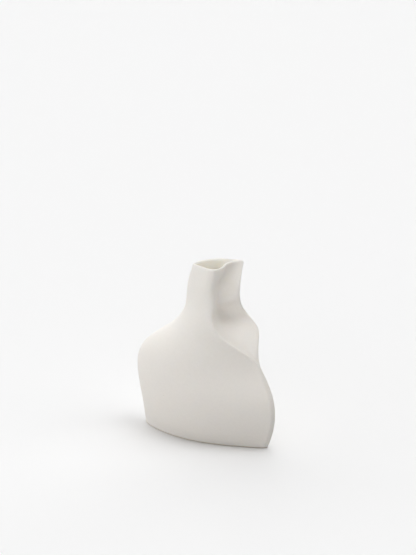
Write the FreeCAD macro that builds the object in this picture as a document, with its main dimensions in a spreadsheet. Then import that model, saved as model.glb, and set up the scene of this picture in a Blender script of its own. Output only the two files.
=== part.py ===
import FreeCAD, Part
import math
import os

# A pillow vase: a porcelain bag that stands on a lens-shaped foot, swells, twists
# an eighth of a turn as it narrows, and folds its right shoulder in under the neck.
# Millimetres; +X runs along the foot to its sharp end, +Y to the back, +Z up.
# The origin is the middle of the foot, on the surface that the vase stands on.

# Driving sizes
SIZES = (
    ("vase_height", 200.0),
    ("foot_length", 160.0),
    ("fold_width", 50.0),
    ("front_swell", 40.0),
    ("back_swell", 44.0),
    ("wall", 3.4),
    ("floor_thick", 5.0),
    ("foot_round", 1.2),
    ("lip_rise", 1.6),
    ("trim_margin", 30.0),
)

# Curves up the vase, one entry for each station, as shares hand-set to the form.
# Heights are shares of vase_height. Plan points are shares of foot_length along X
# and of fold_width along Y.
HEIGHT_SHARES = (0, 0.07, 0.17, 0.29, 0.39, 0.46, 0.51, 0.565, 0.63, 0.69, 0.75, 0.815, 0.9, 1)
LEFT_EDGE_SHARES = (
    (-0.5, 0), (-0.505, 0), (-0.525, 0), (-0.56, 0),
    (-0.56, -0.02), (-0.52, -0.04), (-0.46, -0.06), (-0.375, -0.06),
    (-0.25, -0.06), (-0.182, -0.06), (-0.141, -0.088), (-0.127, -0.149),
    (-0.107, -0.219), (-0.057, -0.291),
)
RIDGE_SHARES = (
    (0.475, -0.11), (0.522, -0.18), (0.562, -0.22), (0.556, -0.22),
    (0.472, -0.14), (0.444, -0.1), (0.406, -0.16), (0.313, -0.34),
    (0.2, -0.52), (0.15, -0.52), (0.122, -0.495), (0.116, -0.441),
    (0.129, -0.455), (0.156, -0.514),
)
GROOVE_SHARES = (
    (0.484, -0.068), (0.526, -0.116), (0.564, -0.148), (0.555, -0.144),
    (0.473, -0.064), (0.433, -0.03), (0.385, -0.008), (0.269, 0.019),
    (0.131, 0.121), (0.007, 0.227), (0.024, 0.142), (0.04, 0.174),
    (0.072, 0.31), (0.136, 0.32),
)
RIGHT_EDGE_SHARES = (
    (0.497, 0.01), (0.531, -0.02), (0.565, -0.06), (0.553, -0.05),
    (0.475, 0.03), (0.411, 0.045), (0.396, 0.108), (0.366, 0.26),
    (0.343, 0.473), (0.254, 0.438), (0.226, 0.287), (0.225, 0.168),
    (0.218, 0.271), (0.209, 0.513),
)

# How far each panel bows out past the straight line between its edges, as shares of
# front_swell and back_swell, and where along that line its two bowing points stand.
FRONT_BOW_SHARES = (
    0.69, 0.85, 0.99, 1, 0.95, 0.89, 0.77,
    0.55, 0.32, 0.24, 0.18, 0.15, 0.11, 0.05,
)
BACK_BOW_SHARES = (
    0.62, 0.76, 0.92, 0.98, 0.94, 0.85, 0.75,
    0.68, 0.68, 0.74, 0.76, 0.75, 0.62, 0.36,
)
FRONT_ALONG_SHARES = (0.22, 0.60)
FRONT_DEPTH_SHARES = (0.88, 1.0)
BACK_ALONG_SHARES = (0.28, 0.73)
BACK_DEPTH_SHARES = (0.92, 1.0)

# How soft each edge is. A softness is the reach of the rounding, as a share of the
# shorter side beside the edge; a rounding of 1 makes the edge fully round and 0 keyed.
LEFT_SOFT_SHARES = (
    0.16, 0.16, 0.16, 0.16, 0.16, 0.16, 0.18,
    0.22, 0.25, 0.32, 0.36, 0.39, 0.4, 0.4,
)
RIDGE_SOFT_SHARES = (0.4, 0.4, 0.4, 0.4, 0.4, 0.3, 0.2, 0.15, 0.15, 0.2, 0.25, 0.35, 0.4, 0.4)
RIDGE_ROUND_SHARES = (0, 0, 0, 0, 0, 0, 0, 0.1, 0.2, 0.33, 0.43, 0.48, 0.42, 0.3)
RIGHT_SOFT_SHARES = (0.3, 0.3, 0.4, 0.4, 0.4, 0.4, 0.3, 0.2, 0.15, 0.15, 0.16, 0.19, 0.2, 0.2)
RIGHT_ROUND_SHARES = (0.5, 0.6, 0.8, 1, 0.8, 0.7, 0.6, 0.5, 0.5, 0.5, 0.47, 0.42, 0.36, 0.3)

# The eight outline points of a station, in order around it
LEFT, FRONT_A, FRONT_B, RIDGE, GROOVE, RIGHT, BACK_A, BACK_B = range(8)
DEGREE = 3
# The front panel is cut at the ridge, which is the fourth of its seven spans
RIDGE_SHARE = 4 / 7


def add_sheet(doc):
    """Spreadsheet of driving sizes, one alias for each"""
    sheet = doc.addObject("Spreadsheet::Sheet", "Sizes")
    for row, (name, value) in enumerate(SIZES, start=1):
        sheet.set(f"A{row}", name)
        sheet.set(f"B{row}", str(value))
        sheet.setAlias(f"B{row}", name)
    doc.recompute()
    return sheet


def plan_point(shares, sheet):
    return FreeCAD.Vector(shares[0] * sheet.foot_length, shares[1] * sheet.fold_width, 0)


def bow_points(start, end, along_shares, depth_shares, depth):
    """Points beside the line from start to end, bowed out to its right"""
    line = end - start
    outward = FreeCAD.Vector(line.y, -line.x, 0).normalize()
    return [start + line * along + outward * (depth * share)
            for along, share in zip(along_shares, depth_shares)]


def station_outline(station, sheet):
    left = plan_point(LEFT_EDGE_SHARES[station], sheet)
    ridge = plan_point(RIDGE_SHARES[station], sheet)
    groove = plan_point(GROOVE_SHARES[station], sheet)
    right = plan_point(RIGHT_EDGE_SHARES[station], sheet)
    front = bow_points(left, ridge, FRONT_ALONG_SHARES, FRONT_DEPTH_SHARES,
                       sheet.front_swell * FRONT_BOW_SHARES[station])
    back = bow_points(right, left, BACK_ALONG_SHARES, BACK_DEPTH_SHARES,
                      sheet.back_swell * BACK_BOW_SHARES[station])
    points = [left, *front, ridge, groove, right, *back]
    for point in points:
        point.z = HEIGHT_SHARES[station] * sheet.vase_height
    return points


def inward(before, after):
    """Level normal of the side from before to after, towards the inside"""
    return FreeCAD.Vector(before.y - after.y, after.x - before.x, 0).normalize()


def roundness(index, station):
    shares = {LEFT: 1.0, RIDGE: RIDGE_ROUND_SHARES[station], RIGHT: RIGHT_ROUND_SHARES[station]}
    return shares.get(index, 0.0)


def inset_outline(outlines, station, distance):
    """Outline moved in by a wall distance that is measured square to the sloping wall"""
    below = outlines[max(station - 1, 0)]
    above = outlines[min(station + 1, len(outlines) - 1)]
    points = outlines[station]
    moved = []
    for index, point in enumerate(points):
        first = inward(points[index - 1], point)
        second = inward(point, points[(index + 1) % len(points)])
        middle = (first + second).normalize()
        mitre = 1 / middle.dot(first)
        rounded = roundness(index, station)
        climb = above[index] - below[index]
        lean = climb.dot(middle) / climb.z
        reach = distance * math.hypot(1, lean) * (mitre * (1 - rounded) + rounded)
        moved.append(point + middle * reach)
    return moved


def soft_corner(point, before, after, softness, rounded):
    """The two control points that round an edge, one on each side of it"""
    reach = softness * min((before - point).Length, (after - point).Length)
    to_before = (before - point).normalize()
    to_after = (after - point).normalize()
    across = (to_before - to_after).normalize()
    return [point + (to_before * (1 - rounded) + across * rounded).normalize() * reach,
            point + (to_after * (1 - rounded) - across * rounded).normalize() * reach]


def control_row(points, station):
    """Control points of the front and of the back panel from one outline"""
    left_front, left_back = soft_corner(points[LEFT], points[FRONT_A], points[BACK_B],
                                        LEFT_SOFT_SHARES[station], 1)
    ridge_front, ridge_fold = soft_corner(points[RIDGE], points[FRONT_B], points[GROOVE],
                                          RIDGE_SOFT_SHARES[station], RIDGE_ROUND_SHARES[station])
    right_fold, right_back = soft_corner(points[RIGHT], points[GROOVE], points[BACK_A],
                                         RIGHT_SOFT_SHARES[station], RIGHT_ROUND_SHARES[station])
    front = [points[LEFT], left_front, points[FRONT_A], points[FRONT_B], ridge_front,
             points[RIDGE], ridge_fold, points[GROOVE], right_fold, points[RIGHT]]
    back = [points[RIGHT], right_back, points[BACK_A], points[BACK_B], left_back, points[LEFT]]
    return front, back


def panel_nets(sheet, distance, foot_distance):
    """Control nets of both panels, the given distance inside the outer skin"""
    outlines = [station_outline(station, sheet) for station in range(len(HEIGHT_SHARES))]
    rows = [control_row(inset_outline(outlines, station, distance), station)
            for station in range(len(outlines))]
    foot = control_row(inset_outline(outlines, 0, foot_distance), 0)
    for point in [*rows[0][0], *rows[0][1]]:
        point.z = sheet.foot_round
    for point in [*rows[-1][0], *rows[-1][1]]:
        point.z = sheet.vase_height - sheet.lip_rise
    rows.insert(0, foot)
    return [row[0] for row in rows], [row[1] for row in rows]


def even_knots(pole_count, degree):
    """Clamped, evenly spaced knots and their multiplicities"""
    spans = pole_count - degree
    knots = [span / spans for span in range(spans + 1)]
    return knots, [degree + 1] + [1] * (spans - 1) + [degree + 1]


def net_surface(rows, start=0, end=1):
    """Surface of a control net, cut to a share of its width"""
    surface = Part.BSplineSurface()
    row_knots, row_counts = even_knots(len(rows), DEGREE)
    column_knots, column_counts = even_knots(len(rows[0]), DEGREE)
    surface.buildFromPolesMultsKnots(rows, row_counts, column_counts, row_knots, column_knots,
                                     False, False, DEGREE, DEGREE)
    surface.segment(0, 1, start, end)
    return surface


def sewn_solid(faces):
    skin = Part.Compound(faces)
    skin.sewShape()
    solid = Part.Solid(Part.Shell(skin.Faces))
    if solid.Volume < 0:
        solid.reverse()
    return solid


def lip_net(outer, inner, sheet):
    """Four control rows that arch over the top of the wall"""
    rise = FreeCAD.Vector(0, 0, sheet.lip_rise / 0.75)
    return [outer, [point + rise for point in outer], [point + rise for point in inner], inner]


def level_face(edges):
    return Part.Face(Part.Wire(Part.__sortEdges__(edges)))


def wall_solid(outer_net, inner_net, start, end, sheet):
    """A sheet of the wall: the span from start to end between an outer and an inner net"""
    outer = net_surface(outer_net, start, end)
    inner = net_surface(inner_net, start, end)
    lip = net_surface(lip_net(outer_net[-1], inner_net[-1], sheet), start, end)
    faces = [outer.toShape(), inner.toShape(), lip.toShape()]
    foot_sides = [Part.makeLine(outer.value(0, side), inner.value(0, side)) for side in (start, end)]
    faces.append(level_face([outer.uIso(0).toShape(), inner.uIso(0).toShape(), *foot_sides]))
    for side in (start, end):
        outer_seam = outer.vIso(side).toShape()
        inner_seam = inner.vIso(side).toShape()
        faces.append(Part.makeRuledSurface(outer_seam, inner_seam))
        chord = Part.makeLine(outer.value(1, side), inner.value(1, side))
        faces.append(level_face([lip.vIso(side).toShape(), chord]))
    return sewn_solid(faces)


def cavity_solid(front_net, back_net):
    """The space inside two inner control nets, closed level at the bottom and the top"""
    front = net_surface(front_net)
    back = net_surface(back_net)
    caps = [level_face([front.uIso(row).toShape(), back.uIso(row).toShape()]) for row in (0, 1)]
    return sewn_solid([front.toShape(), back.toShape(), *caps])


def add_form(doc, name, shape):
    form = doc.addObject("Part::Feature", name)
    form.Label = name
    form.Shape = shape
    form.Placement = FreeCAD.Placement()
    return form


def add_trim_box(doc, name, top):
    """A block over the whole plan, from below the foot up to a given height"""
    box = doc.addObject("Part::Box", name)
    box.setExpression("Length", "Sizes.foot_length + 2 * Sizes.trim_margin")
    box.setExpression("Width", "2 * (Sizes.back_swell + Sizes.trim_margin)")
    box.setExpression("Height", f"{top} + Sizes.trim_margin")
    box.setExpression("Placement.Base.x", "-Sizes.foot_length / 2 - Sizes.trim_margin")
    box.setExpression("Placement.Base.y", "-Sizes.back_swell - Sizes.trim_margin")
    box.setExpression("Placement.Base.z", "-Sizes.trim_margin")
    return box


def add_boolean(doc, kind, name, base, tool):
    result = doc.addObject(kind, name)
    result.Label = name
    result.Base = base
    result.Tool = tool
    return result


def add_walls(doc, sheet):
    """The three sheets of the wall, which meet at the left edge, the ridge and the right edge"""
    front_outer, back_outer = panel_nets(sheet, 0, sheet.foot_round)
    front_inner, back_inner = panel_nets(sheet, sheet.wall, sheet.wall)
    sheets = (
        ("front_wall", front_outer, front_inner, 0, RIDGE_SHARE),
        ("side_fold", front_outer, front_inner, RIDGE_SHARE, 1),
        ("back_wall", back_outer, back_inner, 0, 1),
    )
    walls = [add_form(doc, name, wall_solid(outer, inner, start, end, sheet))
             for name, outer, inner, start, end in sheets]
    return walls, add_form(doc, "cavity", cavity_solid(front_inner, back_inner))


def add_base_slab(doc, cavity):
    """The floor: a slab trimmed to the inside of the walls"""
    slab_box = add_trim_box(doc, "slab_box", "Sizes.floor_thick")
    return add_boolean(doc, "Part::Common", "base_slab", cavity, slab_box)


def check(doc, pieces):
    for item in doc.Objects:
        if "Invalid" in item.State or "Error" in item.State:
            raise RuntimeError(f"{item.Name} did not rebuild")
    for piece in pieces:
        if piece.Shape.isNull() or not piece.Shape.isValid():
            raise RuntimeError(f"{piece.Label} has no valid shape")
        print(piece.Label, len(piece.Shape.Solids), "solid", round(piece.Shape.Volume), "mm3")


def main():
    doc = FreeCAD.newDocument("pillow_vase")
    sheet = add_sheet(doc)
    walls, cavity = add_walls(doc, sheet)
    slab = add_base_slab(doc, cavity)
    doc.recompute()
    pieces = (*walls, slab)
    check(doc, pieces)
    os.makedirs("parts", exist_ok=True)
    for piece in pieces:
        piece.Shape.exportStep(f"parts/{piece.Label}.step")


main()
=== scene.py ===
import math

import bmesh
import bpy
from mathutils import Matrix, Vector
from mathutils.bvhtree import BVHTree


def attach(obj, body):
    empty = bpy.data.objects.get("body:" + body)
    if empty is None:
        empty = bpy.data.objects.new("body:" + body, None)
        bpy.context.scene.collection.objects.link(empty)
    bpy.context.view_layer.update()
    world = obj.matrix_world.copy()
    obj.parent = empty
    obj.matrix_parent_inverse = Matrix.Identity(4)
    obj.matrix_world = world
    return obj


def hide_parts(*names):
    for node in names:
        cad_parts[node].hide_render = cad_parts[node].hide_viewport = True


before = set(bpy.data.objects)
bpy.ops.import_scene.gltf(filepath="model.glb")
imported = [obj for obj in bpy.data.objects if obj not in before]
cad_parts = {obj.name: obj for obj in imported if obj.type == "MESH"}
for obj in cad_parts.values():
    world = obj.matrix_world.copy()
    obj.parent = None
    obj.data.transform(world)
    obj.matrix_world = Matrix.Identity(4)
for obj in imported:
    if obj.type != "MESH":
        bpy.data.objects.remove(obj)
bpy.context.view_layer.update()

print("frame loaded:", sorted(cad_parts))

# The photograph's camera, in degrees, metres and pixels of the photograph
cameraPlace = {
    "azimuth": 32,
    "elevation": 17,
    "distance": 2.2,
    "metresPerPixel": 0.001111,  # at the middle of the foot
    "footPixel": (206.5, 433.5),  # where the middle of the foot shows
    "imageSize": (416, 555),
    "sensor": 36,  # millimetres, along the long side of the image
    "farthest": 50,
}


def wayTo(azimuth, elevation):
    turn, lift = math.radians(azimuth), math.radians(elevation)
    return Vector((math.sin(turn) * math.cos(lift), -math.cos(turn) * math.cos(lift), math.sin(lift)))


def placeCamera(place):
    back = wayTo(place["azimuth"], place["elevation"])
    right = wayTo(place["azimuth"] + 90, 0)
    up = back.cross(right)
    focal = place["distance"] / place["metresPerPixel"]  # in pixels
    width, height = place["imageSize"]
    across = (place["footPixel"][0] - width / 2) / focal
    down = (place["footPixel"][1] - height / 2) / focal
    lens = bpy.data.cameras.new("photoCamera")
    lens.sensor_width = place["sensor"]
    lens.lens = place["sensor"] * focal / height
    lens.clip_end = place["farthest"]
    camera = bpy.data.objects.new("photoCamera", lens)
    stand = (back - right * across + up * down) * place["distance"]
    camera.matrix_world = Matrix.Translation(stand) @ Matrix((right, up, back)).transposed().to_4x4()
    bpy.context.scene.collection.objects.link(camera)
    bpy.context.scene.camera = camera


placeCamera(cameraPlace)
print("camera placed")


def newMaterial(name):
    material = bpy.data.materials.new(name)
    material.use_nodes = True
    material.node_tree.nodes.clear()
    return material, material.node_tree


def addNode(tree, kind, label, inputs=None, **settings):
    node = tree.nodes.new(kind)
    node.name = node.label = label
    for key, value in settings.items():
        setattr(node, key, value)
    for key, value in (inputs or {}).items():
        if isinstance(value, bpy.types.NodeSocket):
            tree.links.new(value, node.inputs[key])
        else:
            node.inputs[key].default_value = value
    return node


def addNoise(tree, label, place, scale, detail, roughness):
    inputs = {"Vector": place, "Scale": scale, "Detail": detail, "Roughness": roughness}
    return addNode(tree, "ShaderNodeTexNoise", label, inputs).outputs["Fac"]


def remap(tree, label, value, span, result):
    inputs = {"Value": value, "From Min": span[0], "From Max": span[1],
              "To Min": result[0], "To Max": result[1]}
    return addNode(tree, "ShaderNodeMapRange", label, inputs).outputs["Result"]


def combine(tree, label, operation, first, second):
    inputs = {0: first, 1: second}
    return addNode(tree, "ShaderNodeMath", label, inputs, operation=operation).outputs["Value"]


def mixColours(tree, label, share, first, second, blend="MIX"):
    # a Mix node takes its share at socket 0 and its colours at 6 and 7, and gives a colour at 2
    inputs = {0: share, 6: first, 7: second}
    return addNode(tree, "ShaderNodeMix", label, inputs, data_type="RGBA", blend_type=blend).outputs[2]


# Matt white porcelain: linear colours, scales per metre, heights and depths in metres
porcelainFinish = {
    "cream": (0.872, 0.830, 0.776, 1),  # low on the body
    "paintedLightTone": (0.952, 0.912, 0.860, 1),  # painted light: a paler copy of the cream, used up at the neck
    "paintedLightHeights": (0.020, 0.150),  # painted light: from cream to the paler tone between these heights
    "paintedFootLightBand": (0, 0.011),  # painted light: paler again at the foot, lifting the shade there
    "cloudShare": 0.25,
    "mottleAmount": 0.012,
    "speckScale": 95,
    "speckSize": 0.022,  # share of a cell
    "speckEdge": 2.2,  # a speck has faded out at so many times its size
    "speckRarity": 0.93,  # share of cells with no speck
    "speckColour": (0.66, 0.60, 0.52, 1),
    # painted contact shade: a darker tan band at the bottom of the foot, between these heights, in
    # this colour
    "contactShadeBand": (0.0009, 0.0017),
    "contactShadeColour": (0.80, 0.71, 0.59, 1),
    # painted light: a paler, warmer colour inside the neck
    "paintedInnerColour": (0.988, 0.950, 0.855, 1),
    "roughness": (0.50, 0.62),
    "refraction": 1.5,
    "handDepth": 0.0006,
    "grainDepth": 0.00002,
    # scale, detail and roughness
    "noises": {
        "clouds": (16, 4, 0.55),
        "mottle": (420, 3, 0.5),
        "hand": (34, 1, 0.5),
        "grain": (1400, 2, 0.5),
    },
    "noiseSpan": (0.3, 0.7),  # where nearly all of a noise's values lie
    # share and depth of the light that travels in the clay: at the outer skin, then inside the neck
    "glow": (0.2, 1.0),
    "glowDepth": (0.003, 0.013),
    "glowReach": (1.0, 0.85, 0.65),  # red goes deepest
}


def makePorcelain(finish):
    material, tree = newMaterial("porcelain")
    place = addNode(tree, "ShaderNodeTexCoord", "place").outputs["Object"]
    above = addNode(tree, "ShaderNodeSeparateXYZ", "above", {"Vector": place}).outputs["Z"]
    noise = {label: addNoise(tree, label, place, *sizes) for label, sizes in finish["noises"].items()}

    # painted light: paler towards the neck and at the foot; then clouded and faintly mottled
    paintedLightRise = remap(tree, "paintedLightRise", above, finish["paintedLightHeights"], (0, 1))
    # painted light at the foot, against the shade near the table
    paintedFootLight = remap(tree, "paintedFootLight", above, finish["paintedFootLightBand"], (1, 0))
    # painted light of the neck and of the foot, whichever is paler
    pale = combine(tree, "pale", "MAXIMUM", paintedLightRise, paintedFootLight)
    clouded = addNode(tree, "ShaderNodeMix", "clouded",
                      {"Factor": finish["cloudShare"], "A": pale, "B": noise["clouds"]})
    colour = mixColours(tree, "tone", clouded.outputs["Result"], finish["cream"], finish["paintedLightTone"])
    shades = (1 - finish["mottleAmount"], 1 + finish["mottleAmount"])
    mottled = remap(tree, "mottled", noise["mottle"], finish["noiseSpan"], shades)
    colour = mixColours(tree, "shaded", 1, colour, mottled, "MULTIPLY")

    # a rare tan speck in the clay
    cells = addNode(tree, "ShaderNodeTexVoronoi", "cells",
                    {"Vector": place, "Scale": finish["speckScale"]})
    speckSpan = (finish["speckSize"], finish["speckSize"] * finish["speckEdge"])
    spot = remap(tree, "spot", cells.outputs["Distance"], speckSpan, (1, 0))
    chosen = addNode(tree, "ShaderNodeSeparateColor", "chosen", {"Color": cells.outputs["Color"]})
    rare = combine(tree, "rare", "GREATER_THAN", chosen.outputs["Red"], finish["speckRarity"])
    speck = combine(tree, "speck", "MULTIPLY", spot, rare)
    colour = mixColours(tree, "speckled", speck, colour, finish["speckColour"])

    # painted contact shade: a darker tan band where the foot meets the table
    paintedContactShade = remap(tree, "paintedContactShade", above, finish["contactShadeBand"], (1, 0))
    colour = mixColours(tree, "contactShaded", paintedContactShade, colour, finish["contactShadeColour"])

    # painted light: a paler, warmer colour inside the neck; more light also travels through the thin
    # wall there
    inner = addNode(tree, "ShaderNodeAttribute", "inner", attribute_name="inner").outputs["Fac"]
    colour = mixColours(tree, "paintedInside", inner, colour, finish["paintedInnerColour"])
    glow = remap(tree, "glow", inner, (0, 1), finish["glow"])
    glowDepth = remap(tree, "glowDepth", inner, (0, 1), finish["glowDepth"])

    # matt, uneven by hand, with a fine grain on top
    dull = remap(tree, "dull", noise["clouds"], finish["noiseSpan"], finish["roughness"])
    handBump = addNode(tree, "ShaderNodeBump", "handBump",
                       {"Height": noise["hand"], "Distance": finish["handDepth"]})
    grainBump = addNode(tree, "ShaderNodeBump", "grainBump",
                        {"Height": noise["grain"], "Distance": finish["grainDepth"],
                         "Normal": handBump.outputs["Normal"]})
    clay = addNode(tree, "ShaderNodeBsdfPrincipled", "clay",
                   {"Base Color": colour, "Roughness": dull, "Normal": grainBump.outputs["Normal"],
                    "IOR": finish["refraction"], "Subsurface Weight": glow,
                    "Subsurface Radius": finish["glowReach"], "Subsurface Scale": glowDepth})
    addNode(tree, "ShaderNodeOutputMaterial", "out", {"Surface": clay.outputs["BSDF"]})
    return material


# The fired wall: the sheets and the floor slab run into one another, and every edge is a little soft
vaseBody = {
    "nodes": ("front_wall", "side_fold", "back_wall", "base_slab"),
    "mergeDistance": 0.00001,
    "voxel": 0.00137,
    "softness": 0.5,
    "softPasses": 1,
    # where hands pushed the clay after the sheets were joined: middle, push and reach, in metres
    "pushes": {
        "ridgeTop": ((0.0240, -0.0120, 0.192), (0.0040, 0.0025, 0), 0.012),
        "ridgeMiddle": ((0.0190, -0.0180, 0.160), (0.0030, 0.0019, 0), 0.013),
        "valleyTop": ((0.0290, 0.0120, 0.176), (0.0030, -0.0048, 0), 0.016),
        "valleyFoot": ((0.0200, 0.0065, 0.158), (0.0032, -0.0050, 0), 0.013),
        "flankFoot": ((0.0140, -0.0040, 0.148), (0.0035, -0.0022, 0), 0.012),
        "ledge": ((0.0400, 0.0020, 0.1180), (0.0005, -0.0008, 0.0018), 0.013),
        "backLip": ((0.0100, -0.0020, 0.199), (0, 0, 0.0006), 0.010),
    },
    # where the skin moves level, along its normals: height where that starts, height where it is
    # full, and how far outwards, in metres
    "shifts": {
        "squareFoot": (0.0026, 0, 0.0010),
        "thinLip": (0.176, 0.199, -0.0007),
    },
    # a point lies in the neck where nearly every level way from it meets the wall; lift and heights
    # are in metres
    "innerProbe": {"ways": 16, "walled": 14, "lift": 0.0004, "from": 0.09, "full": 0.13},
}


def pushClay(mesh, pushes):
    for middle, push, reach in pushes.values():
        middle, push = Vector(middle), Vector(push)
        for vertex in mesh.vertices:
            vertex.co += push * math.exp(-((vertex.co - middle).length / reach) ** 2)
    mesh.update()


def shiftSkin(mesh, shifts):
    for start, full, outward in shifts.values():
        normals = [vertex.normal.copy() for vertex in mesh.vertices]
        for vertex, normal in zip(mesh.vertices, normals):
            share = min(max((vertex.co.z - start) / (full - start), 0), 1)
            vertex.co += Vector((normal.x, normal.y, 0)) * outward * share
        mesh.update()


def markInner(mesh, probe):
    corners = [vertex.co for vertex in mesh.vertices]
    tree = BVHTree.FromPolygons(corners, [face.vertices for face in mesh.polygons])
    turns = [math.tau * step / probe["ways"] for step in range(probe["ways"])]
    ways = [Vector((math.cos(turn), math.sin(turn), 0)) for turn in turns]
    inner = mesh.attributes.new("inner", "FLOAT", "POINT")
    low, full = probe["from"], probe["full"]
    for vertex in mesh.vertices:
        if vertex.co.z > low:
            start = vertex.co + vertex.normal * probe["lift"]
            walled = sum(tree.ray_cast(start, way)[0] is not None for way in ways)
            if walled >= probe["walled"]:
                inner.data[vertex.index].value = min(1, (vertex.co.z - low) / (full - low))


def joinSheets(names, mergeDistance):
    joined = bmesh.new()
    for name in names:
        joined.from_mesh(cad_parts[name].data)
    bmesh.ops.remove_doubles(joined, verts=joined.verts, dist=mergeDistance)
    mesh = bpy.data.meshes.new("vaseSheets")
    joined.to_mesh(mesh)
    joined.free()
    return mesh


def fireBody(body):
    raw = bpy.data.objects.new("vaseSheets", joinSheets(body["nodes"], body["mergeDistance"]))
    bpy.context.scene.collection.objects.link(raw)
    fuse = raw.modifiers.new("fuse", "REMESH")
    fuse.mode = "VOXEL"
    fuse.voxel_size = body["voxel"]
    fuse.use_smooth_shade = True
    soften = raw.modifiers.new("soften", "SMOOTH")
    soften.factor = body["softness"]
    soften.iterations = body["softPasses"]
    graph = bpy.context.evaluated_depsgraph_get()
    fired = bpy.data.meshes.new_from_object(raw.evaluated_get(graph))
    bpy.data.objects.remove(raw)
    return fired


def buildVase(body, material):
    fired = fireBody(body)
    fired.materials.clear()
    fired.materials.append(material)
    fired.shade_smooth()
    pushClay(fired, body["pushes"])
    shiftSkin(fired, body["shifts"])
    markInner(fired, body["innerProbe"])
    vase = bpy.data.objects.new("vaseBody", fired)
    bpy.context.scene.collection.objects.link(vase)
    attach(vase, "root")
    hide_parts(*body["nodes"])
    return vase


vase = buildVase(vaseBody, makePorcelain(porcelainFinish))
print("vase built:", len(vase.data.polygons), "faces")

# Pale table top, and a backdrop of nearly the same tone past its edge
studio = {
    "tableSize": 9,
    "tableColour": (0.92, 0.92, 0.92, 1),
    "tableBounce": (0.60, 0.60, 0.60, 1),  # what the table throws back on the vase
    "tableRoughness": 0.9,
    "tableGloss": 0.1,
    "backdrop": (0.93, 0.93, 0.93, 1),
    "lampSpread": 50,  # degrees
    # soft lamps far off, as a dome: azimuth and elevation that the light comes from, and strength
    "lamps": {
        "leftBackLamp": (-118, 25, 0.95),
        "leftSideLamp": (-73, 25, 0.30),
        "leftSideLowLamp": (-73, 8, 0.54),
        "leftFrontLowLamp": (-28, 8, 0.78),
        "frontLowLamp": (17, 8, 0.86),
        "rightSideLamp": (107, 55, 1.07),
        "backHighLamp": (197, 55, 0.40),
        "backLamp": (197, 25, 0.30),
        "backLowLamp": (197, 8, 0.34),
        "topLamp": (32, 88, 0.87),
    },
}


def shownToCamera(tree, hidden, shown):
    # the camera sees the one shader, and the light that bounces meets the other
    path = addNode(tree, "ShaderNodeLightPath", "path")
    inputs = {0: path.outputs["Is Camera Ray"], 1: hidden.outputs[0], 2: shown.outputs[0]}
    return addNode(tree, "ShaderNodeMixShader", "surface", inputs).outputs[0]


def buildTable(place):
    material, tree = newMaterial("tableTop")
    bounced, seen = (addNode(tree, "ShaderNodeBsdfPrincipled", name,
                             {"Base Color": place[name], "Roughness": place["tableRoughness"],
                              "Specular IOR Level": place["tableGloss"]})
                     for name in ("tableBounce", "tableColour"))
    addNode(tree, "ShaderNodeOutputMaterial", "out", {"Surface": shownToCamera(tree, bounced, seen)})
    half = place["tableSize"] / 2
    corners = [(-half, -half, 0), (half, -half, 0), (half, half, 0), (-half, half, 0)]
    mesh = bpy.data.meshes.new("tableTop")
    mesh.from_pydata(corners, [], [(0, 1, 2, 3)])
    mesh.materials.append(material)
    table = bpy.data.objects.new("tableTop", mesh)
    bpy.context.scene.collection.objects.link(table)


def hangLamps(place):
    for name, (azimuth, elevation, strength) in place["lamps"].items():
        lamp = bpy.data.lights.new(name, "SUN")
        lamp.angle = math.radians(place["lampSpread"])
        lamp.energy = strength
        holder = bpy.data.objects.new(name, lamp)
        holder.rotation_euler = wayTo(azimuth, elevation).to_track_quat("Z", "Y").to_euler()
        bpy.context.scene.collection.objects.link(holder)


def hangBackdrop(place):
    world = bpy.data.worlds.new("studioBackdrop")
    bpy.context.scene.world = world
    world.use_nodes = True
    tree = world.node_tree
    tree.nodes.clear()
    # nothing but the lamps lights the vase
    dark = addNode(tree, "ShaderNodeBackground", "dark", {"Color": (0, 0, 0, 1)})
    pale = addNode(tree, "ShaderNodeBackground", "pale", {"Color": place["backdrop"]})
    addNode(tree, "ShaderNodeOutputWorld", "out", {"Surface": shownToCamera(tree, dark, pale)})


buildTable(studio)
hangLamps(studio)
hangBackdrop(studio)
bpy.context.scene.view_settings.view_transform = "Standard"
print("studio lit")
